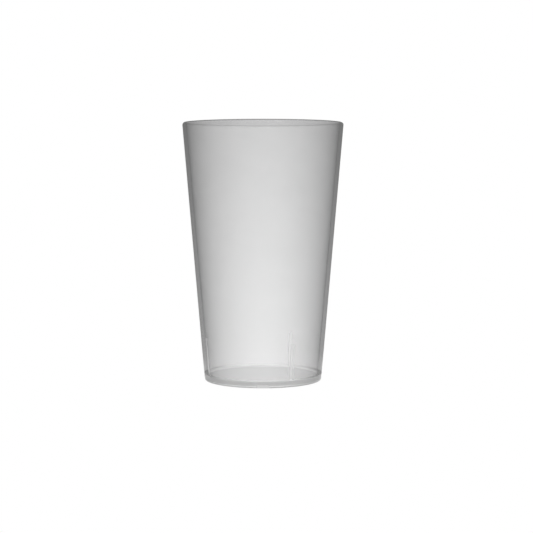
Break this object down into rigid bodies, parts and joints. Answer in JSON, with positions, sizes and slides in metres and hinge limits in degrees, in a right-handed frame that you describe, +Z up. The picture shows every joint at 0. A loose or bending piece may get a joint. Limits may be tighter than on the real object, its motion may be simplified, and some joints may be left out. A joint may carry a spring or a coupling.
{
  "type": "pint tumbler",
  "caption": "Clear moulded plastic pint tumbler with straight tapered wall, rounded lip, low inner stacking ribs and a notched foot ring.",
  "frame": {"origin": "centre of the foot ring's resting plane", "axes": "+Z up along the tumbler's axis towards the lip, -Y the front, with a drain notch at the front and at the back, and one stacking rib on -X"},
  "size_m": [0.0878, 0.0878, 0.141],
  "materials": {
    "clear_plastic": "polished, clear with a slight milky veil"
  },
  "bodies": {
    "root": {"tumbler": "clear_plastic"}
  },
  "joints": []
}
